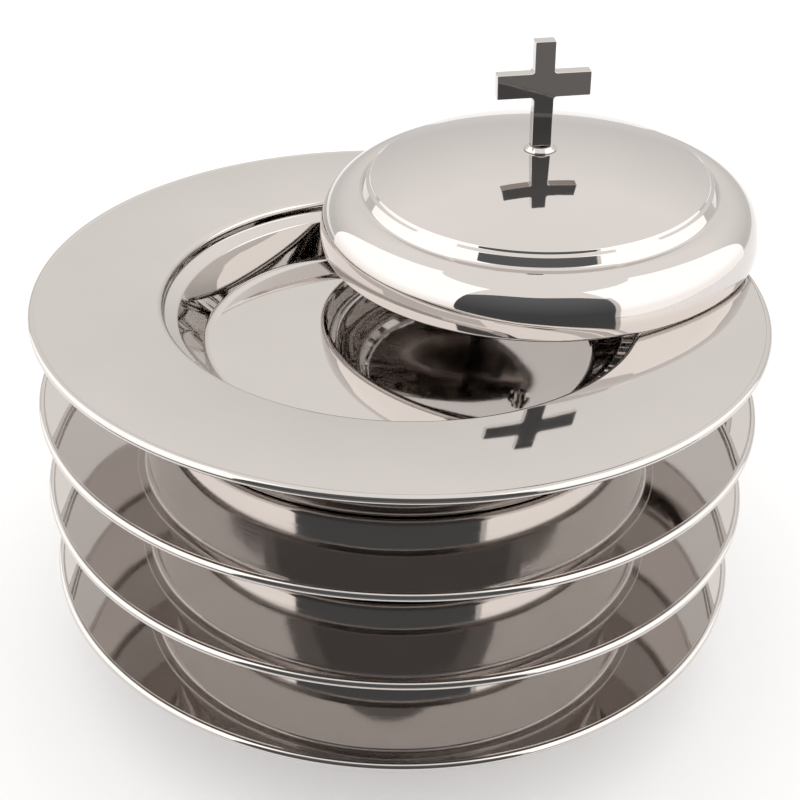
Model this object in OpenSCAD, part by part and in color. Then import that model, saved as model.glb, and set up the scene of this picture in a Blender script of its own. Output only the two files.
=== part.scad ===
// Four stacking bread plates with a cross-topped lid that lies tilted on the top plate.
// Millimetres, +Z up. The origin is on the stack's axis, on the table under the bottom plate.

/* [Plates] */
// Outside diameter of a plate, over the rolled bead
plate_d = 254; // [230:1:290]
// Thickness of the pressed sheet, the same in plates, rings and lid
sheet = 0.8; // [0.6:0.1:1.1]
// Diameter of the rolled bead round a plate's edge
bead_d = 3; // [2.4:0.1:4]
// Height of the bead's crest over the sheet that runs into it
bead_rise = 0.2; // [0.15:0.05:0.4]
// Diameter of the well's opening, at the upright step under the rim
opening_d = 164.8; // [158:0.2:168]
// Radius of the bend from the rim down into the opening
opening_bend = 2.5; // [1.5:0.1:3]
// Slope of the rim beside the opening, in degrees
rim_slope_in = 6.3; // [4:0.1:8]
// Slope of the rim beside the bead, in degrees
rim_slope_out = 0.7; // [0.2:0.1:2]
// Height of the upright step from the rim down to the ledge
step_h = 3.9; // [3.5:0.1:6]
// Radius of the bend between the step and the ledge
step_bend = 1; // [0.6:0.1:1.4]
// Width of the ledge that carries the lid
ledge_w = 4.5; // [3.8:0.1:6]
// Fall of the ledge towards the centre
ledge_fall = 2.2; // [1.5:0.1:3]
// Radius of the bend from the ledge down into the well
ledge_bend = 2; // [1.2:0.1:2.5]
// Depth of the well's floor under the bead's centre
well_depth = 19.5; // [17:0.1:23]
// Run of the well's sloping wall, from the ledge in to the floor
wall_run = 9.4; // [6:0.1:13]
// Radius of the bend round the floor
floor_bend = 4; // [2:0.1:5]

/* [Stacking rings] */
// Height from one plate to the next in the stack
pitch = 34.1; // [31:0.1:42]
// How far a ring's upright wall stands outside the opening's bend
ring_land = 3.1; // [2.7:0.1:8]
// Width of the flange that is welded under the rim
flange_w = 4; // [2.5:0.1:8]
// Radius of the bend between flange and wall
flange_bend = 1.6; // [1:0.1:1.8]
// Radius of the bend at the ring's foot
foot_bend = 2.4; // [1.6:0.1:2.6]
// Radius of the bend between foot and locating lip
lip_bend = 0.8; // [0.5:0.1:1]
// Clearance of the locating lip inside the opening below, on the radius
lip_clear = 0.6; // [0.4:0.05:1]
// Height of the locating lip's end over the ledge below
lip_float = 0.9; // [0.6:0.1:1.5]
// Gap kept where the foot rests on the rim below
seat_gap = 0.3; // [0.2:0.05:0.5]
// Gap kept between the flange and the rim above it
weld_gap = 0.05; // [0.02:0.01:0.1]

/* [Lid] */
// Clearance of the lid's side inside the opening, on the radius
lid_clear = 0.5; // [0.4:0.05:1]
// Radius of the bend from the side into the hem
hem_bend = 1.6; // [1.2:0.1:2]
// Width of the hem that is turned in along the lower edge
hem_w = 2.4; // [2.2:0.1:4]
// Height at which the upright side turns into the shoulder
side_h = 5.2; // [4.6:0.1:6.5]
// Radius of the bend between side and shoulder
side_bend = 18; // [8:0.5:20]
// Height of the shoulder
shoulder_h = 14.1; // [13.2:0.1:16]
// Width of the shoulder, in to the step's foot
shoulder_w = 16; // [15.5:0.1:19.5]
// Lean of the shoulder where it starts, in degrees from upright
shoulder_lean = 14; // [8:0.5:15]
// Radius of the shoulder's round
shoulder_round = 13; // [9:0.5:13.5]
// Radius of the bend at the step's foot
step_foot_bend = 3; // [2:0.1:3.4]
// Run of the step, from its foot in to the crown's edge
step_run = 3; // [2:0.1:4]
// Height of the step from the shoulder up to the crown
crown_step = 4.3; // [3:0.1:5]
// Radius of the bend round the crown
crown_bend = 2.6; // [1.5:0.1:3]
// Rise of the crown from its edge to its top
crown_rise = 10; // [7:0.1:12]

/* [Where the lid lies] */
// Distance of the lid's centre from the stack's axis
lid_offset = 70.6; // [66:0.1:78]
// Direction of the lid from the axis, in degrees from +X
lid_heading = 44.4; // [0:0.1:360]
// Tilt of the lid towards the axis, in degrees
lid_tilt = 3.1; // [1.5:0.1:4.5]
// Gap kept where the lid's hem rests on the rim
rest_gap = 0.3; // [0.2:0.05:0.5]

/* [Cross] */
// Height of the cross
cross_h = 39; // [36:0.5:50]
// Length of the crossbar
cross_w = 34; // [28:0.5:42]
// Width of the upright
upright_w = 7.4; // [6.5:0.1:9]
// Height of the crossbar
crossbar_h = 8.9; // [7:0.1:10]
// Height of the crossbar's middle over the foot
crossbar_at = 23; // [20:0.5:28]
// Thickness of the cross, front to back
cross_t = 4.8; // [4.4:0.1:6]
// Radius in the corners between the bars
cross_fillet = 1.2; // [0.5:0.1:1.8]
// Radius of the cross's outer corners
cross_edge = 0.4; // [0.2:0.1:0.8]
// Turn of the cross about the lid's axis, in degrees
cross_turn = 8; // [-90:1:90]
// Diameter of the collar under the cross
collar_d = 12; // [10:0.2:15]
// Height of the collar
collar_h = 1.8; // [1.2:0.1:3]
// Radius of the collar's upper edge
collar_round = 0.7; // [0.3:0.1:0.9]

/* [Fastening] */
// Diameter of the screw that holds the cross
screw_d = 3; // [2.5:0.1:3.2]
// Clearance of the screw in its holes, on the radius
screw_clear = 0.1; // [0.05:0.05:0.2]
// Length of the screw inside the cross
screw_grip = 8; // [6:0.5:12]
// Room left past the screw's end in its blind hole
hole_spare = 1; // [0.5:0.1:2]
// Diameter of the screw's head
screw_head_d = 5.6; // [5:0.1:6.5]
// Height of the screw's head
screw_head_h = 2.2; // [1.6:0.1:2.6]
// Length of each arm-to-arm slot in the head
slot_l = 3.9; // [3:0.1:4.8]
// Width of each slot
slot_w = 0.8; // [0.6:0.1:1.2]
// Depth of each slot
slot_h = 1.2; // [0.8:0.1:1.4]
// Diameter of the washer under the head
washer_d = 9; // [8:0.2:12]
// Thickness of the washer
washer_h = 0.8; // [0.5:0.1:1.2]
// Gap kept between the washer and the crown over it
washer_gap = 0.1; // [0.05:0.05:0.3]

/* [Hidden] */

$fn = 96;
arc_parts = 8;
rim_parts = 12;
crown_parts = 10;
least_bend = 0.05;
steel = [0.74, 0.72, 0.71];
ring_steel = [0.66, 0.64, 0.63];
lid_steel = [0.8, 0.78, 0.77];
cross_steel = [0.45, 0.43, 0.42];
screw_steel = [0.6, 0.6, 0.6];

// Radii and heights of a plate, from the centre of its bead
plate_r = plate_d / 2;
bead_r = bead_d / 2;
opening_r = opening_d / 2;
rim_out_r = plate_r - bead_r;
rim_in_r = opening_r + opening_bend;
ledge_in_r = opening_r - ledge_w;
floor_r = ledge_in_r - wall_run;
rim_edge_z = bead_r - bead_rise;
rim_arc_r = (rim_out_r - rim_in_r) / (sin(rim_slope_in) - sin(rim_slope_out));
rim_arc_at = rim_out_r + rim_arc_r * sin(rim_slope_out);
opening_z = rim_top(rim_in_r) - tan(rim_slope_in) * opening_bend;
ledge_z = opening_z - step_h;
ledge_in_z = ledge_z - ledge_fall;

// Radii and heights of a ring, from the same centre
ring_r = rim_in_r + ring_land;
flange_r = ring_r + flange_w;
lip_r = opening_r - lip_clear;
foot_z = rim_top(ring_r - foot_bend) + seat_gap - pitch;
lip_z = ledge_top(lip_r) + lip_float - pitch;
flange_drop = sheet / cos(rim_slope_in) + weld_gap + sheet;

// Radii and heights of the lid, from its lower edge
lid_r = opening_r - lid_clear;
hem_r = lid_r - hem_bend;
step_foot_r = lid_r - shoulder_w;
step_foot_z = side_h + shoulder_h;
crown_r = step_foot_r - step_run;
crown_z = step_foot_z + crown_step;
crown_arc_r = (crown_r * crown_r + crown_rise * crown_rise) / (2 * crown_rise);
apex_z = crown_z + crown_rise;
foot_of_cross_z = apex_z + collar_h;
washer_z = apex_z - sheet - washer_gap - washer_h - crown_sag(washer_d / 2);

// The lid's height, from what its hem crosses between the opening and the bead
rest_steps = [for (k = [0 : rim_parts]) rim_in_r + (rim_out_r - rim_in_r) * k / rim_parts];
lid_lift = max([for (r = rest_steps) rest_surface(r) - tan(lid_tilt) * (crossing(r) - lid_offset)]);
lid_z = lid_lift + rest_gap;

// Height of a rim's upper face at radius r
function rim_top(r) =
    rim_edge_z - rim_arc_r * cos(rim_slope_out) + sqrt(pow(rim_arc_r, 2) - pow(rim_arc_at - r, 2));

// Height of the ledge's upper face at radius r
function ledge_top(r) = ledge_z - ledge_fall * (opening_r - r) / ledge_w;

// Height of what the lid's hem rests on at radius r: the rim, and the crest of the bead at its end
function rest_surface(r) = r >= rim_out_r - bead_r ? bead_r : rim_top(r);

// Distance along the lid's heading at which its hem crosses the circle of radius r about the axis
function crossing(r) = (r * r - hem_r * hem_r + lid_offset * lid_offset) / (2 * lid_offset);

// Fall of the crown's inner face from its middle to radius r
function crown_sag(r) = crown_arc_r - sqrt(crown_arc_r * crown_arc_r - r * r);

// Section helpers: paths of [r, z] points that are rounded, offset to their right and closed into a sheet
function unit(v) = v / norm(v);
function heading(angle) = [cos(angle), sin(angle)];
function right_of(v) = [v[1], -v[0]];
function turn(a, b, c) = sign(cross(b - a, c - b));
function bend(a, b, c, r) =
    let (
        u = unit(a - b),
        w = unit(c - b),
        half = acos(max(-1, min(1, u * w))) / 2,
        centre = b + unit(u + w) * r / sin(half),
        start = b + u * r / tan(half) - centre,
        from = atan2(start[1], start[0]),
        sweep = turn(a, b, c) * (180 - 2 * half)
    )
    [for (k = [0 : arc_parts]) centre + r * heading(from + sweep * k / arc_parts)];
function rounded(path, radii) = [
    for (i = [0 : len(path) - 1])
        each radii[i] > 0 ? bend(path[i - 1], path[i], path[i + 1], radii[i]) : [path[i]]
];
function side_at(path, i) =
    let (
        last = len(path) - 1,
        before = i == 0 ? path[1] - path[0] : path[i] - path[i - 1],
        after = i == last ? path[i] - path[i - 1] : path[i + 1] - path[i],
        n = right_of(unit(before)),
        m = right_of(unit(after))
    )
    (n + m) / (1 + n * m);
function off_axis(p) = [max(p[0], 0), p[1]];
function beside(path, gap) = [for (i = [0 : len(path) - 1]) off_axis(path[i] + gap * side_at(path, i))];
function beside_radii(path, radii, gap) = [
    for (i = [0 : len(path) - 1])
        radii[i] > 0 ? max(radii[i] + gap * turn(path[i - 1], path[i], path[i + 1]), least_bend) : 0
];
function reversed(list) = [for (i = [len(list) - 1 : -1 : 0]) list[i]];
function sheet_section(path, radii) = concat(
    rounded(path, radii),
    reversed(rounded(beside(path, sheet), beside_radii(path, radii, sheet)))
);
function zeros(count) = [for (k = [1 : count]) 0];

// Upper face of a dish, from the centre of the floor out to the bead
dish_path = concat(
    [
        [0, -well_depth],
        [floor_r, -well_depth],
        [ledge_in_r, ledge_in_z],
        [opening_r, ledge_z],
        [opening_r, opening_z]
    ],
    [for (k = [0 : rim_parts]) let (r = rim_in_r + (rim_out_r - rim_in_r) * k / rim_parts) [r, rim_top(r)]]
);
dish_radii = concat([0, floor_bend, ledge_bend, step_bend, opening_bend], zeros(rim_parts + 1));

// Outer face of a ring, from the flange under the rim down to the end of the lip
ring_path = [
    [flange_r, rim_top(flange_r) - flange_drop],
    [ring_r, rim_top(ring_r) - flange_drop],
    [ring_r, foot_z],
    [lip_r, foot_z],
    [lip_r, lip_z]
];
ring_radii = [0, flange_bend, foot_bend, lip_bend, 0];

// Outer face of the lid, from the top of the crown down to the end of the hem
lid_path = concat(
    [for (k = [0 : crown_parts - 1]) let (r = crown_r * k / crown_parts) [r, apex_z - crown_sag(r)]],
    [
        [crown_r, crown_z],
        [step_foot_r, step_foot_z],
        [lid_r - shoulder_h * tan(shoulder_lean), step_foot_z],
        [lid_r, side_h],
        [lid_r, 0],
        [lid_r - hem_w, 0]
    ]
);
lid_radii = concat(
    zeros(crown_parts),
    [crown_bend, step_foot_bend, shoulder_round, side_bend, hem_bend, 0]
);

// Outline of the cross, from the left of its foot round to the right
half_upright = upright_w / 2;
half_bar = cross_w / 2;
bar_low = crossbar_at - crossbar_h / 2;
bar_high = crossbar_at + crossbar_h / 2;
cross_path = [
    [-half_upright, 0],
    [-half_upright, bar_low],
    [-half_bar, bar_low],
    [-half_bar, bar_high],
    [-half_upright, bar_high],
    [-half_upright, cross_h],
    [half_upright, cross_h],
    [half_upright, bar_high],
    [half_bar, bar_high],
    [half_bar, bar_low],
    [half_upright, bar_low],
    [half_upright, 0]
];
cross_radii = [
    0, cross_fillet, cross_edge, cross_edge, cross_fillet, cross_edge,
    cross_edge, cross_fillet, cross_edge, cross_edge, cross_fillet, 0
];

// Raises a plate to its level in the stack: 0 for the bottom one
module at_level(level) {
    translate([0, 0, level * pitch - lip_z]) children();
}

// Takes what is built about the lid's own axis to where the lid lies on the top plate
module on_lid() {
    at_level(3)
        rotate([0, 0, lid_heading])
        translate([lid_offset, 0, lid_z])
        rotate([0, -lid_tilt, 0])
        rotate([0, 0, -lid_heading])
        children();
}

// Pressed plate: rim with its rolled bead, opening, ledge and well
module dish() {
    color(steel)
    union() {
        rotate_extrude() polygon(sheet_section(dish_path, dish_radii));
        rotate_extrude() translate([rim_out_r, 0]) circle(bead_r);
    }
}

// Pressed ring under a plate: welding flange, upright wall, foot and locating lip
module ring() {
    color(ring_steel)
    rotate_extrude() polygon(sheet_section(ring_path, ring_radii));
}

// Domed cover: turned-in hem, side, rounded shoulder, step and crown, with a hole for the screw
module lid_shell() {
    color(lid_steel)
    difference() {
        rotate_extrude() polygon(sheet_section(lid_path, lid_radii));
        translate([0, 0, crown_z]) cylinder(h = crown_rise * 2, r = screw_d / 2 + screw_clear);
    }
}

// Round collar between the crown and the foot of the cross
module handle_collar() {
    color(lid_steel)
    difference() {
        translate([0, 0, apex_z])
            rotate_extrude()
            polygon(rounded(
                [[0, 0], [0, collar_h], [collar_d / 2, collar_h], [collar_d / 2, 0]],
                [0, 0, collar_round, 0]
            ));
        translate([0, 0, apex_z - collar_h]) cylinder(h = collar_h * 3, r = screw_d / 2 + screw_clear);
    }
}

// Solid Latin cross with a blind hole for the screw in its foot
module cross_handle() {
    color(cross_steel)
    translate([0, 0, foot_of_cross_z])
    rotate([0, 0, cross_turn])
    difference() {
        rotate([90, 0, 0])
            linear_extrude(height = cross_t, center = true)
            polygon(rounded(cross_path, cross_radii));
        translate([0, 0, -hole_spare])
            cylinder(h = screw_grip + 2 * hole_spare, r = screw_d / 2 + screw_clear);
    }
}

// Flat washer inside the crown
module handle_washer() {
    color(screw_steel)
    translate([0, 0, washer_z])
    difference() {
        cylinder(h = washer_h, d = washer_d);
        translate([0, 0, -washer_h]) cylinder(h = washer_h * 3, r = screw_d / 2 + screw_clear);
    }
}

// Round-headed screw that comes up through the crown into the cross
module handle_screw() {
    color(screw_steel)
    difference() {
        union() {
            translate([0, 0, washer_z - screw_head_h]) cylinder(h = screw_head_h, d = screw_head_d);
            translate([0, 0, washer_z - screw_head_h])
                cylinder(h = foot_of_cross_z + screw_grip - washer_z + screw_head_h, d = screw_d);
        }
        for (a = [0, 90])
            translate([0, 0, washer_z - screw_head_h])
                rotate([0, 0, a])
                cube([slot_l, slot_w, slot_h * 2], center = true);
    }
}

at_level(0) dish();  // bottom_dish
at_level(0) ring();  // bottom_ring
at_level(1) dish();  // third_dish
at_level(1) ring();  // third_ring
at_level(2) dish();  // second_dish
at_level(2) ring();  // second_ring
at_level(3) dish();  // top_dish
at_level(3) ring();  // top_ring
on_lid() lid_shell();
on_lid() handle_collar();
on_lid() cross_handle();
on_lid() handle_washer();
on_lid() handle_screw();
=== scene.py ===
import math

import bpy
from mathutils import Euler, Matrix, Vector


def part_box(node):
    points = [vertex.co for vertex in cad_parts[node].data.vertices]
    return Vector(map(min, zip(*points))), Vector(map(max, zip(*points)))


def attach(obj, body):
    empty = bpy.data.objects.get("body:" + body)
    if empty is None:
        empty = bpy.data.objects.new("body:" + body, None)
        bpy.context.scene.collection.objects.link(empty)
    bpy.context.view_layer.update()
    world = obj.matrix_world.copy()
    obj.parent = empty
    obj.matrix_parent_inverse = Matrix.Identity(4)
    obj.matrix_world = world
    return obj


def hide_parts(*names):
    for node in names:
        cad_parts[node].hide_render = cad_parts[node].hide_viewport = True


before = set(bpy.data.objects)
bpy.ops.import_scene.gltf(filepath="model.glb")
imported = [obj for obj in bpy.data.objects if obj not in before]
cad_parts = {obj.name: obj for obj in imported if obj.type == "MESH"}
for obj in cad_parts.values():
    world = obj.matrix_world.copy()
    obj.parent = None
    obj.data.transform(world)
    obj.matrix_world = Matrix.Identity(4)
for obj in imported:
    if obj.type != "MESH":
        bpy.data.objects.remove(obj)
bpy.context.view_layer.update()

# All sizes of the set are in millimetres
MM = 0.001

# Plates from the lowest up, and the distance from one to the next
LEVELS = ("bottom", "third", "second", "top")
PITCH = 34.1

# Sheet that the plates, the rings and the lid are pressed from
SHEET = 0.8
EDGE_ROUND = 0.2

# Plate, with heights from the centre of its bead
PLATE_R = 127.0
BEAD_R = 1.5
BEAD_RISE = 0.2
BEAD_MEET = 0.12
OPENING_R = 82.4
OPENING_BEND = 2.5
RIM_SLOPE_IN = math.radians(6.3)
RIM_SLOPE_OUT = math.radians(0.7)
RIM_STOP = 0.6
STEP_H = 3.9
STEP_BEND = 1.0
LEDGE_W = 4.5
LEDGE_FALL = 2.2
LEDGE_BEND = 2.0
WELL_DEPTH = 19.5
FLOOR_R = 68.5
FLOOR_BEND = 4.0

# Stacking ring under a plate
RING_R = 88.0
FLANGE_R = 92.0
FLANGE_BEND = 1.6
FOOT_BEND = 2.4
LIP_BEND = 0.8
LIP_CLEAR = 0.6
LIP_FLOAT = 0.9
SEAT_GAP = 0.3
WELD_GAP = 0.05

# Lid, with heights from the lower edge of its hem
LID_CLEAR = 0.5
LID_R = OPENING_R - LID_CLEAR
HEM_BEND = 1.6
HEM_W = 2.4
SIDE_H = 5.2
SIDE_BEND = 18.0
SHOULDER_H = 14.1
SHOULDER_W = 15.8
SHOULDER_LEAN = math.radians(14)
SHOULDER_ROUND = 13.0
STEP_FOOT_R = LID_R - SHOULDER_W
STEP_FOOT_DIP = 0.3
STEP_FOOT_BEND = 1.8
STEP_TOP_RUN = 2.15
STEP_TOP_H = 3.05
STEP_TOP_BEND = 0.8
CROWN_RUN = 3.8
CROWN_R = STEP_FOOT_R - CROWN_RUN
CROWN_STEP = 4.5
CROWN_BEND = 0.5
CROWN_LINE_W = 0.45
CROWN_LINE_H = 0.8
CROWN_LINE_BEND = 0.4
CROWN_RISE = 9.8

# How the lid lies on the top plate
LID_OFFSET = 70.6
LID_HEADING = math.radians(44.4)
LID_TILT = math.radians(3.1)
REST_GAP = 0.3
REST_STEPS = 12

# Cross and the collar under it
CROSS_H = 39.0
CROSS_W = 34.0
UPRIGHT_W = 7.4
CROSSBAR_H = 8.9
CROSSBAR_AT = 23.0
CROSS_T = 4.8
CROSS_FILLET = 1.2
CROSS_EDGE = 0.4
CROSS_BEVEL = 0.35
CROSS_BEVEL_PARTS = 3
CROSS_BEVEL_ANGLE = math.radians(50)
CROSS_TURN = math.radians(8)
COLLAR_R = 6.0
COLLAR_TOP_R = 4.5
COLLAR_H = 1.8
COLLAR_EDGE_H = 0.5
COLLAR_ROUND = 0.6
SCREW_HOLE_R = 1.6

# How finely curves are cut
SEGMENTS = 288
BEAD_PARTS = 44
RIM_PARTS = 24
CROWN_PARTS = 24
TURN_STEP = math.radians(5)
CROSS_TURN_STEP = math.radians(15)
LONGEST_STEP = 3.0
FEWEST_STEPS = 3
LEAST_BEND = 0.05

# Rim of a plate: an arc from the bead down to the opening
rim_out_r = PLATE_R - BEAD_R
rim_in_r = OPENING_R + OPENING_BEND
rim_edge_z = BEAD_R - BEAD_RISE
rim_arc_r = (rim_out_r - rim_in_r) / (math.sin(RIM_SLOPE_IN) - math.sin(RIM_SLOPE_OUT))
rim_arc_at = rim_out_r + rim_arc_r * math.sin(RIM_SLOPE_OUT)


def rim_top(r):
    """Height of a rim's upper face at radius r, from the centre of the bead."""
    fall = rim_arc_r * math.cos(RIM_SLOPE_OUT) - math.sqrt(rim_arc_r ** 2 - (rim_arc_at - r) ** 2)
    return rim_edge_z - fall


# Heights and radii that follow from the sizes
opening_z = rim_top(rim_in_r) - math.tan(RIM_SLOPE_IN) * OPENING_BEND
ledge_z = opening_z - STEP_H
lip_r = OPENING_R - LIP_CLEAR
foot_z = rim_top(RING_R - FOOT_BEND) + SEAT_GAP - PITCH
lip_z = ledge_z - LEDGE_FALL * LIP_CLEAR / LEDGE_W + LIP_FLOAT - PITCH
hem_r = LID_R - HEM_BEND
step_foot_z = SIDE_H + SHOULDER_H
crown_z = step_foot_z + CROWN_STEP
crown_arc_r = (CROWN_R ** 2 + CROWN_RISE ** 2) / (2 * CROWN_RISE)
apex_z = crown_z + CROWN_RISE


# Sections
def rounded(corners, turn_step=TURN_STEP):
    """Points of a path of (r, z, radius) corners, with each radius above 0 drawn as an arc."""
    points = []
    last = len(corners) - 1
    for i, (r, z, radius) in enumerate(corners):
        here = Vector((r, z))
        if radius <= 0 or i in (0, last):
            points.append(here)
            continue
        back = (Vector(corners[i - 1][:2]) - here).normalized()
        ahead = (Vector(corners[i + 1][:2]) - here).normalized()
        half = math.acos(max(-1.0, min(1.0, back.dot(ahead)))) / 2
        centre = here + (back + ahead).normalized() * radius / math.sin(half)
        start = here + back * radius / math.tan(half) - centre
        side = 1 if back.x * ahead.y - back.y * ahead.x < 0 else -1
        sweep = side * (math.pi - 2 * half)
        by_turn = math.ceil(abs(sweep) / turn_step)
        by_length = math.ceil(abs(sweep) * radius / LONGEST_STEP)
        count = max(FEWEST_STEPS, by_turn, by_length)
        first = math.atan2(start.y, start.x)
        for k in range(count + 1):
            angle = first + sweep * k / count
            points.append(centre + radius * Vector((math.cos(angle), math.sin(angle))))
    return points


def beside(corners, gap):
    """The same path moved to its right by gap, with each radius grown or shrunk to suit."""
    moved = []
    last = len(corners) - 1
    for i, (r, z, radius) in enumerate(corners):
        here = Vector((r, z))
        into = (here - Vector(corners[max(i - 1, 0)][:2])).normalized()
        out = (Vector(corners[min(i + 1, last)][:2]) - here).normalized()
        into = into if i else out
        out = out if i < last else into
        n = Vector((into.y, -into.x))
        m = Vector((out.y, -out.x))
        p = here + (n + m) * gap / (1 + n.dot(m))
        turn = into.x * out.y - into.y * out.x
        radius = max(radius + math.copysign(gap, turn), LEAST_BEND) if radius > 0 else 0
        moved.append((max(p.x, 0.0), p.y, radius))
    return moved


def sheet_section(corners):
    """A path along one face of a sheet, closed round its two ends into a section."""
    other = beside(corners, SHEET)[::-1]
    face = [*corners[:-1], (*corners[-1][:2], EDGE_ROUND)]
    under = [(*other[0][:2], EDGE_ROUND), *other[1:]]
    if corners[0][0] > 0:
        face[0] = (*face[0][:2], EDGE_ROUND)
        under[-1] = (*under[-1][:2], EDGE_ROUND)
        middle = (Vector(face[0][:2]) + Vector(under[-1][:2])) / 2
        return rounded([(*middle, 0), *face, *under, (*middle, 0)])
    return rounded([*face, *under])


def dish_section():
    """Floor, wall, ledge, step and rim, then round the bead and back underneath."""
    rim_stop_r = rim_out_r - BEAD_R - RIM_STOP
    rim = []
    for k in range(RIM_PARTS + 1):
        r = rim_in_r + (rim_stop_r - rim_in_r) * k / RIM_PARTS
        rim.append((r, rim_top(r), 0))
    meet_r = rim_out_r - math.sqrt(BEAD_R ** 2 - rim_edge_z ** 2)
    face = [
        (0.0, -WELL_DEPTH, 0),
        (FLOOR_R, -WELL_DEPTH, FLOOR_BEND),
        (OPENING_R - LEDGE_W, ledge_z - LEDGE_FALL, LEDGE_BEND),
        (OPENING_R, ledge_z, STEP_BEND),
        (OPENING_R, opening_z, OPENING_BEND),
        *rim,
        (meet_r, rim_edge_z, BEAD_MEET),
    ]
    under = beside(face, SHEET)[::-1]
    low_z = under[0][1]
    low_r = rim_out_r - math.sqrt(BEAD_R ** 2 - low_z ** 2)
    under[0] = (low_r, low_z, BEAD_MEET)
    start = math.atan2(rim_edge_z, meet_r - rim_out_r)
    end = math.atan2(low_z, low_r - rim_out_r) - 2 * math.pi
    bead = []
    for k in range(1, BEAD_PARTS):
        angle = start + (end - start) * k / BEAD_PARTS
        bead.append((rim_out_r + BEAD_R * math.cos(angle), BEAD_R * math.sin(angle), 0))
    return rounded([*face, *bead, *under])


def ring_section():
    """Welding flange, upright wall, foot and locating lip."""
    drop = SHEET / math.cos(RIM_SLOPE_IN) + WELD_GAP + SHEET
    return sheet_section([
        (FLANGE_R, rim_top(FLANGE_R) - drop, 0),
        (RING_R, rim_top(RING_R) - drop, FLANGE_BEND),
        (RING_R, foot_z, FOOT_BEND),
        (lip_r, foot_z, LIP_BEND),
        (lip_r, lip_z, 0),
    ])


def lid_section():
    """Crown with a fine line round it, step, shoulder, side and turned-in hem, then back inside."""
    crown = []
    # The point next to the crown's edge is left out, to make room for the bend there
    for k in range(CROWN_PARTS - 1):
        r = CROWN_R * k / CROWN_PARTS
        crown.append((r, apex_z - crown_arc_r + math.sqrt(crown_arc_r ** 2 - r ** 2), 0))
    return sheet_section([
        *crown,
        (CROWN_R, crown_z, CROWN_BEND),
        (CROWN_R + CROWN_LINE_W, crown_z - CROWN_LINE_H, CROWN_LINE_BEND),
        (STEP_FOOT_R - STEP_TOP_RUN, step_foot_z + STEP_TOP_H, STEP_TOP_BEND),
        (STEP_FOOT_R, step_foot_z - STEP_FOOT_DIP, STEP_FOOT_BEND),
        (LID_R - SHOULDER_H * math.tan(SHOULDER_LEAN), step_foot_z, SHOULDER_ROUND),
        (LID_R, SIDE_H, SIDE_BEND),
        (LID_R, 0.0, HEM_BEND),
        (LID_R - HEM_W, 0.0, 0),
    ])


def collar_section():
    """Low collar that slopes to a thin edge, with a hole for the screw."""
    return rounded([
        (SCREW_HOLE_R, 0.0, 0),
        (SCREW_HOLE_R, COLLAR_H, 0),
        (COLLAR_TOP_R, COLLAR_H, COLLAR_ROUND),
        (COLLAR_R, COLLAR_EDGE_H, COLLAR_ROUND / 2),
        (COLLAR_R, 0.0, EDGE_ROUND),
        (SCREW_HOLE_R, 0.0, 0),
    ])


# Meshes
def add_mesh(name, vertices, faces, material):
    """A new object in the scene, with one mesh in metres and one material."""
    mesh = bpy.data.meshes.new(name)
    mesh.from_pydata(vertices, [], faces)
    mesh.materials.append(material)
    made = bpy.data.objects.new(name, mesh)
    bpy.context.scene.collection.objects.link(made)
    return made


def add_piece(name, vertices, faces, material, place):
    """A piece of the set from millimetres, put where place says."""
    piece = add_mesh(name, [tuple(c * MM for c in v) for v in vertices], faces, material)
    piece.matrix_world = place
    return piece


def lathe(name, section, material, place):
    """Turns a section about the Z axis.

    A section that starts on the axis ends there too, and both ends close to a point.
    Any other section is a closed loop."""
    loop = section[0].x > 0
    ring_points = section[:-1] if loop else section[1:-1]
    count = len(ring_points)
    vertices = []
    for i in range(SEGMENTS):
        angle = 2 * math.pi * i / SEGMENTS
        vertices += [(p.x * math.cos(angle), p.x * math.sin(angle), p.y) for p in ring_points]
    faces = []
    for i in range(SEGMENTS):
        here = i * count
        there = (i + 1) % SEGMENTS * count
        for k in range(count if loop else count - 1):
            n = (k + 1) % count
            faces.append((here + k, there + k, there + n, here + n))
    if not loop:
        first = len(vertices)
        vertices += [(0, 0, section[0].y), (0, 0, section[-1].y)]
        for i in range(SEGMENTS):
            here = i * count
            there = (i + 1) % SEGMENTS * count
            faces.append((first, there, here))
            faces.append((first + 1, here + count - 1, there + count - 1))
    piece = add_piece(name, vertices, [f[::-1] for f in faces], material, place)
    piece.data.shade_smooth()
    even = piece.modifiers.new("even_normals", "WEIGHTED_NORMAL")
    even.mode = "FACE_AREA"
    return piece


# Materials
STEEL = (0.633, 0.605, 0.588)
SMEAR_SHADE = 0.97
SMEAR_FROM = 0.3
SMEAR_TO = 0.75
SMEAR_DETAIL = 5.0
LINE_DETAIL = 2.0
GLOSS_FROM = 0.1
GLOSS_TO = 0.45
CLEAREST = 0.02
DULLEST = 0.06
RING_DULLEST = 0.14
WAVE_SCALE = 45.0
WAVE_DETAIL = 1.0
WAVE_DEPTH = 0.00002


def new_material(name):
    """A new material, with its nodes and its links."""
    material = bpy.data.materials.new(name)
    material.use_nodes = True
    return material, material.node_tree.nodes, material.node_tree.links


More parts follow.
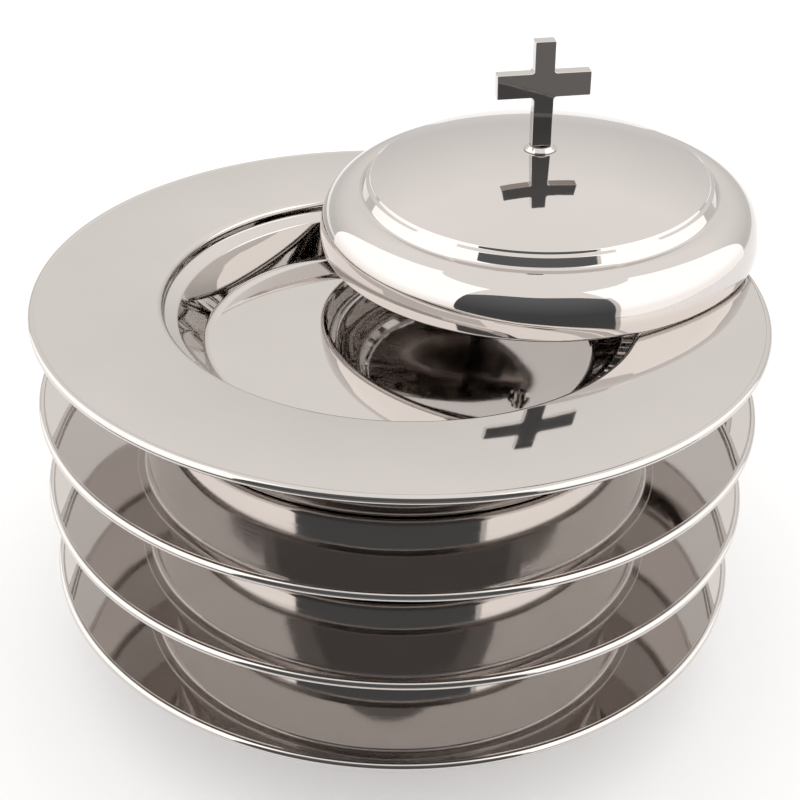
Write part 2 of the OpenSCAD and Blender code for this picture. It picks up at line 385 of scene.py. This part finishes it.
def mirror_steel(name, smear_scale, line_scale, dullest=DULLEST):
    """Polished stainless steel: a clear mirror with faint smears, spun polishing lines and slow waves."""
    material, nodes, links = new_material(name)
    shader = nodes["Principled BSDF"]
    shader.inputs["Metallic"].default_value = 1.0
    place = nodes.new("ShaderNodeTexCoord")

    # Smears, which darken the steel a little
    smears = nodes.new("ShaderNodeTexNoise")
    smears.inputs["Scale"].default_value = smear_scale
    smears.inputs["Detail"].default_value = SMEAR_DETAIL
    links.new(place.outputs["Object"], smears.inputs["Vector"])
    tint = nodes.new("ShaderNodeValToRGB")
    tint.color_ramp.elements[0].position = SMEAR_FROM
    tint.color_ramp.elements[0].color = (*[c * SMEAR_SHADE for c in STEEL], 1)
    tint.color_ramp.elements[1].position = SMEAR_TO
    tint.color_ramp.elements[1].color = (*STEEL, 1)
    links.new(smears.outputs["Fac"], tint.inputs["Fac"])
    links.new(tint.outputs["Color"], shader.inputs["Base Color"])

    # Lines round the axis, from noise that changes only with radius and height
    split = nodes.new("ShaderNodeSeparateXYZ")
    links.new(place.outputs["Object"], split.inputs["Vector"])
    flat = nodes.new("ShaderNodeCombineXYZ")
    links.new(split.outputs["X"], flat.inputs["X"])
    links.new(split.outputs["Y"], flat.inputs["Y"])
    radius = nodes.new("ShaderNodeVectorMath")
    radius.operation = "LENGTH"
    links.new(flat.outputs["Vector"], radius.inputs[0])
    spread = nodes.new("ShaderNodeCombineXYZ")
    links.new(radius.outputs["Value"], spread.inputs["X"])
    links.new(split.outputs["Z"], spread.inputs["Y"])
    lines = nodes.new("ShaderNodeTexNoise")
    lines.inputs["Scale"].default_value = line_scale
    lines.inputs["Detail"].default_value = LINE_DETAIL
    links.new(spread.outputs["Vector"], lines.inputs["Vector"])

    # Smears and lines together change the gloss
    gloss = nodes.new("ShaderNodeMath")
    gloss.operation = "MULTIPLY"
    links.new(smears.outputs["Fac"], gloss.inputs[0])
    links.new(lines.outputs["Fac"], gloss.inputs[1])
    roughness = nodes.new("ShaderNodeMapRange")
    roughness.inputs["From Min"].default_value = GLOSS_FROM
    roughness.inputs["From Max"].default_value = GLOSS_TO
    roughness.inputs["To Min"].default_value = CLEAREST
    roughness.inputs["To Max"].default_value = dullest
    links.new(gloss.outputs["Value"], roughness.inputs["Value"])
    links.new(roughness.outputs["Result"], shader.inputs["Roughness"])

    # Slow waves in the sheet
    waves = nodes.new("ShaderNodeTexNoise")
    waves.inputs["Scale"].default_value = WAVE_SCALE
    waves.inputs["Detail"].default_value = WAVE_DETAIL
    links.new(place.outputs["Object"], waves.inputs["Vector"])
    wavy = nodes.new("ShaderNodeBump")
    wavy.inputs["Strength"].default_value = 1.0
    wavy.inputs["Distance"].default_value = WAVE_DEPTH
    links.new(waves.outputs["Fac"], wavy.inputs["Height"])
    links.new(wavy.outputs["Normal"], shader.inputs["Normal"])
    return material


plate_steel = mirror_steel("plate_steel", smear_scale=30.0, line_scale=900.0)
ring_steel = mirror_steel("ring_steel", smear_scale=24.0, line_scale=900.0, dullest=RING_DULLEST)
lid_steel = mirror_steel("lid_steel", smear_scale=34.0, line_scale=900.0)
cross_steel = mirror_steel("cross_steel", smear_scale=90.0, line_scale=500.0)
screw_steel = mirror_steel("screw_steel", smear_scale=120.0, line_scale=1500.0)


# Plates and rings
base_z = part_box("bottom_ring")[0][2] / MM - lip_z
top_bead_z = base_z + (len(LEVELS) - 1) * PITCH
for level, level_name in enumerate(LEVELS):
    stand = Matrix.Translation((0, 0, (base_z + level * PITCH) * MM))
    dish = lathe(level_name + "_plate", dish_section(), plate_steel, stand)
    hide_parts(level_name + "_dish")
    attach(dish, level_name + "_plate")
    ring = lathe(level_name + "_stacking_ring", ring_section(), ring_steel, stand)
    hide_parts(level_name + "_ring")
    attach(ring, level_name + "_plate")


# The lid lies across the top plate's rim: its hem crosses the bead and the edge of the opening
def crossing_at(r):
    """Distance along the lid's heading at which its hem crosses the circle of radius r."""
    return (r * r - hem_r * hem_r + LID_OFFSET * LID_OFFSET) / (2 * LID_OFFSET)


lid_lifts = []
for step in range(REST_STEPS + 1):
    r = rim_in_r + (rim_out_r - rim_in_r) * step / REST_STEPS
    surface = BEAD_R if r >= rim_out_r - BEAD_R else rim_top(r)
    lid_lifts.append(surface - math.tan(LID_TILT) * (crossing_at(r) - LID_OFFSET))
lid_centre = Vector((
    LID_OFFSET * math.cos(LID_HEADING),
    LID_OFFSET * math.sin(LID_HEADING),
    top_bead_z + max(lid_lifts) + REST_GAP,
))
lean = Matrix.Rotation(LID_TILT, 4, Vector((math.sin(LID_HEADING), -math.cos(LID_HEADING), 0)))
on_lid = Matrix.Translation(lid_centre * MM) @ lean
on_crown = on_lid @ Matrix.Translation((0, 0, apex_z * MM))
on_collar = on_lid @ Matrix.Translation((0, 0, (apex_z + COLLAR_H) * MM))

lid = lathe("lid", lid_section(), lid_steel, on_lid)
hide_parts("lid_shell")
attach(lid, "lid")

collar = lathe("collar", collar_section(), lid_steel, on_crown)
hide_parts("handle_collar")
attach(collar, "lid")


# Cross
def cross_outline():
    """Outline of the cross from the left of its foot, with its corners rounded."""
    w = UPRIGHT_W / 2
    b = CROSS_W / 2
    low = CROSSBAR_AT - CROSSBAR_H / 2
    high = CROSSBAR_AT + CROSSBAR_H / 2
    left = [
        (-w, 0.0, CROSS_EDGE),
        (-w, low, CROSS_FILLET),
        (-b, low, CROSS_EDGE),
        (-b, high, CROSS_EDGE),
        (-w, high, CROSS_FILLET),
        (-w, CROSS_H, CROSS_EDGE),
    ]
    right = [(-x, z, radius) for x, z, radius in left[::-1]]
    return rounded([(0.0, 0.0, 0), *left, *right, (0.0, 0.0, 0)], turn_step=CROSS_TURN_STEP)[:-1]


def cross_solid():
    """Vertices and faces of the cross, with its outline drawn out to its thickness."""
    outline = cross_outline()
    count = len(outline)
    front = [(p.x, -CROSS_T / 2, p.y) for p in outline]
    back = [(p.x, CROSS_T / 2, p.y) for p in outline]
    faces = [tuple(range(count))[::-1], tuple(range(count, 2 * count))]
    for k in range(count):
        after = (k + 1) % count
        faces.append((k, after, after + count, k + count))
    return front + back, faces


cross_place = on_collar @ Matrix.Rotation(CROSS_TURN, 4, "Z")
cross = add_piece("cross", *cross_solid(), cross_steel, cross_place)
bevel = cross.modifiers.new("edges", "BEVEL")
bevel.width = CROSS_BEVEL * MM
bevel.segments = CROSS_BEVEL_PARTS
bevel.limit_method = "ANGLE"
bevel.angle_limit = CROSS_BEVEL_ANGLE
bevel.harden_normals = True
cross.data.shade_smooth()
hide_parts("cross_handle")
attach(cross, "lid")

# The washer and the screw keep their solids
for node_name in ("handle_washer", "handle_screw"):
    for material_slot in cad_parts[node_name].material_slots:
        material_slot.material = screw_steel

# Camera
SENSOR_W = 36.0
LENS = 61.785
CLIP_NEAR = 0.01
CLIP_FAR = 50.0
CAMERA_AT = Vector((0.83, -428.65, top_bead_z + 219.70))
CAMERA_DOWN = math.radians(31.78)
CAMERA_ROLL = math.radians(1.82)
camera_data = bpy.data.cameras.new("camera")
camera_data.sensor_width = SENSOR_W
camera_data.lens = LENS
camera_data.clip_start = CLIP_NEAR
camera_data.clip_end = CLIP_FAR
camera = bpy.data.objects.new("camera", camera_data)
bpy.context.scene.collection.objects.link(camera)
aim = Euler((math.pi / 2 - CAMERA_DOWN, 0, 0)).to_matrix().to_4x4()
roll = Matrix.Rotation(CAMERA_ROLL, 4, "Z")
camera.matrix_world = Matrix.Translation(CAMERA_AT * MM) @ (aim @ roll)
bpy.context.scene.camera = camera

# Studio that the steel mirrors, in metres, with azimuths and elevations in degrees
CARD_FAR = 1.4
CARD_Z = 0.16
CARD_FOOT = -9.0
CARD_ACROSS = 32
CARD_UP = 12
FLAG_LEFT = -42.0
FLAG_RIGHT = 37.0
FLAG_TOP = 53.0
FLAG_DROOP = 15.0
FLAG_POWER = 4
LIGHT_LEFT = -128.0
LIGHT_RIGHT = 118.0
LIGHT_TOP = 65.0
EDGE_W = 2.5
EDGE_TOP = 40.0
EDGE_NEARER = 0.05
LONG_FADE = 1.0
SHORT_FADE = 0.35
FLOOR_EDGE = [(-0.42, -0.05), (-0.285, -0.222), (0.285, -0.222), (0.42, -0.05)]
EDGE_SOFT = 1.14
TABLE_END = [(-0.67, -0.08), (-0.95, -1.45), (0.95, -1.45), (0.67, -0.08)]
CARD_LIFT = 0.001
FLOOR_HALF = 6.0
FLOOR_COLOUR = (0.94, 0.95, 0.965, 1)
FLOOR_ROUGHNESS = 0.9
FLOOR_WHITE = 0.16
ROOM_COLOUR = (1.03, 1.0, 0.97, 1)
ROOM_DIM = 0.76
ROOM_BRIGHT = 1.1
DIM_BELOW = math.radians(8)
BRIGHT_ABOVE = math.radians(42)
REFLECTIONS = 12


def glowing(name):
    """A material that only gives off light, and the shader that does it."""
    material, nodes, links = new_material(name)
    nodes.clear()
    glow = nodes.new("ShaderNodeEmission")
    end = nodes.new("ShaderNodeOutputMaterial")
    links.new(glow.outputs["Emission"], end.inputs["Surface"])
    return material, glow


def even_glow(name, colour):
    """A glow of one colour."""
    material, glow = glowing(name)
    glow.inputs["Color"].default_value = (*colour, 1)
    return material


def fading_glow(name, low, high, fade_height):
    """A glow that goes from one colour at the height of CARD_Z to another at fade_height above it."""
    material, glow = glowing(name)
    nodes = material.node_tree.nodes
    links = material.node_tree.links
    place = nodes.new("ShaderNodeTexCoord")
    split = nodes.new("ShaderNodeSeparateXYZ")
    links.new(place.outputs["Object"], split.inputs["Vector"])
    height = nodes.new("ShaderNodeMapRange")
    height.inputs["From Min"].default_value = CARD_Z
    height.inputs["From Max"].default_value = CARD_Z + fade_height
    links.new(split.outputs["Z"], height.inputs["Value"])
    fade = nodes.new("ShaderNodeMix")
    fade.data_type = "RGBA"
    fade.inputs["A"].default_value = (*low, 1)
    fade.inputs["B"].default_value = (*high, 1)
    links.new(height.outputs["Result"], fade.inputs["Factor"])
    links.new(fade.outputs["Result"], glow.inputs["Color"])
    return material


def stage_card(name, vertices, faces, material):
    """A piece of the studio that only the steel sees."""
    made = add_mesh(name, vertices, faces, material)
    made.visible_camera = False
    made.visible_diffuse = False
    made.visible_shadow = False


def dome_card(name, azimuths, top, material, far=CARD_FAR):
    """A card bent round the object between two azimuths, where 0 is towards the camera.

    Its top is a function of the azimuth."""
    vertices = []
    for i in range(CARD_ACROSS + 1):
        azimuth = azimuths[0] + (azimuths[1] - azimuths[0]) * i / CARD_ACROSS
        a = math.radians(azimuth)
        for k in range(CARD_UP + 1):
            e = math.radians(CARD_FOOT + (top(azimuth) - CARD_FOOT) * k / CARD_UP)
            flat = far * math.cos(e)
            vertices.append((flat * math.sin(a), -flat * math.cos(a), CARD_Z + far * math.sin(e)))
    faces = []
    for i in range(CARD_ACROSS):
        for k in range(CARD_UP):
            here = i * (CARD_UP + 1) + k
            there = here + CARD_UP + 1
            faces.append((here, there, there + 1, here + 1))
    stage_card(name, vertices, faces, material)


def floor_card(name, near, far, material):
    """A card that lies just over the floor in front of the object, between two lines of points."""
    vertices = [(x, y, CARD_LIFT) for x, y in far + near]
    n = len(near)
    stage_card(name, vertices, [(k, k + 1, n + k + 1, n + k) for k in range(n - 1)], material)


def flag_top(azimuth):
    """Top of the dark opening that the camera looks through."""
    middle = (FLAG_LEFT + FLAG_RIGHT) / 2
    half = (FLAG_RIGHT - FLAG_LEFT) / 2
    return FLAG_TOP - FLAG_DROOP * abs((azimuth - middle) / half) ** FLAG_POWER


def light_top(azimuth):
    """Top of the two soft lights, the same all along."""
    return LIGHT_TOP


def edge_top(azimuth):
    """Top of the dimmer strip beside the right light, the same all along."""
    return EDGE_TOP


dark = fading_glow("dark_room", low=(0.075, 0.08, 0.083), high=(0.16, 0.165, 0.17), fade_height=LONG_FADE)
# Painted shade on the white floor in front as the steel mirrors it: a dim band near the object, then
# darker further out
near_floor_shade = even_glow("near_floor_painted_shade", colour=(0.3, 0.29, 0.28))
far_floor_shade = even_glow("far_floor_painted_shade", colour=(0.18, 0.175, 0.17))
soft = fading_glow("soft_light", low=(1.46, 1.42, 1.38), high=(1.8, 1.75, 1.7), fade_height=SHORT_FADE)
edge = fading_glow("soft_edge", low=(0.77, 0.75, 0.73), high=(0.98, 0.95, 0.92), fade_height=LONG_FADE)
dome_card("opening", (FLAG_LEFT, FLAG_RIGHT), flag_top, dark)
dome_card("left_light", (LIGHT_LEFT, FLAG_LEFT), light_top, soft)
dome_card("right_light", (FLAG_RIGHT, LIGHT_RIGHT), light_top, soft)
dome_card("right_edge", (FLAG_RIGHT, FLAG_RIGHT + EDGE_W), edge_top, edge, CARD_FAR - EDGE_NEARER)
# Cards over the white floor in front that only the steel sees: painted shade on the floor's reflection
table_start = [(x * EDGE_SOFT, y * EDGE_SOFT) for x, y in FLOOR_EDGE]
floor_card("floor_edge", FLOOR_EDGE, table_start, near_floor_shade)
floor_card("table_front", table_start, TABLE_END, far_floor_shade)

# White floor, a little whiter where it is seen than where it lights the object
floor_material, nodes, links = new_material("floor")
shader = nodes["Principled BSDF"]
shader.inputs["Base Color"].default_value = FLOOR_COLOUR
shader.inputs["Roughness"].default_value = FLOOR_ROUGHNESS
shader.inputs["Emission Color"].default_value = (1, 1, 1, 1)
ray = nodes.new("ShaderNodeLightPath")
camera_or_gloss = nodes.new("ShaderNodeMath")
camera_or_gloss.operation = "MAXIMUM"
links.new(ray.outputs["Is Camera Ray"], camera_or_gloss.inputs[0])
links.new(ray.outputs["Is Glossy Ray"], camera_or_gloss.inputs[1])
seen = nodes.new("ShaderNodeMath")
seen.operation = "MAXIMUM"
links.new(camera_or_gloss.outputs["Value"], seen.inputs[0])
links.new(ray.outputs["Is Transmission Ray"], seen.inputs[1])
whiter = nodes.new("ShaderNodeMath")
whiter.operation = "MULTIPLY"
whiter.inputs[1].default_value = FLOOR_WHITE
links.new(seen.outputs["Value"], whiter.inputs[0])
links.new(whiter.outputs["Value"], shader.inputs["Emission Strength"])
floor_corners = [(-1, -1), (1, -1), (1, 1), (-1, 1)]
floor_vertices = [(x * FLOOR_HALF, y * FLOOR_HALF, 0) for x, y in floor_corners]
floor = add_mesh("floor", floor_vertices, [(0, 1, 2, 3)], floor_material)

# White room, a little dimmer towards the horizon
world = bpy.data.worlds.new("studio")
world.use_nodes = True
nodes = world.node_tree.nodes
links = world.node_tree.links
direction = nodes.new("ShaderNodeTexCoord")
split = nodes.new("ShaderNodeSeparateXYZ")
links.new(direction.outputs["Generated"], split.inputs["Vector"])
rise = nodes.new("ShaderNodeMapRange")
rise.inputs["From Min"].default_value = math.sin(DIM_BELOW)
rise.inputs["From Max"].default_value = math.sin(BRIGHT_ABOVE)
rise.inputs["To Min"].default_value = ROOM_DIM
rise.inputs["To Max"].default_value = ROOM_BRIGHT
links.new(split.outputs["Z"], rise.inputs["Value"])
nodes["Background"].inputs["Color"].default_value = ROOM_COLOUR
links.new(rise.outputs["Result"], nodes["Background"].inputs["Strength"])
bpy.context.scene.world = world
bpy.context.scene.view_settings.view_transform = "Standard"
bpy.context.scene.cycles.glossy_bounces = REFLECTIONS
bpy.context.scene.cycles.max_bounces = REFLECTIONS
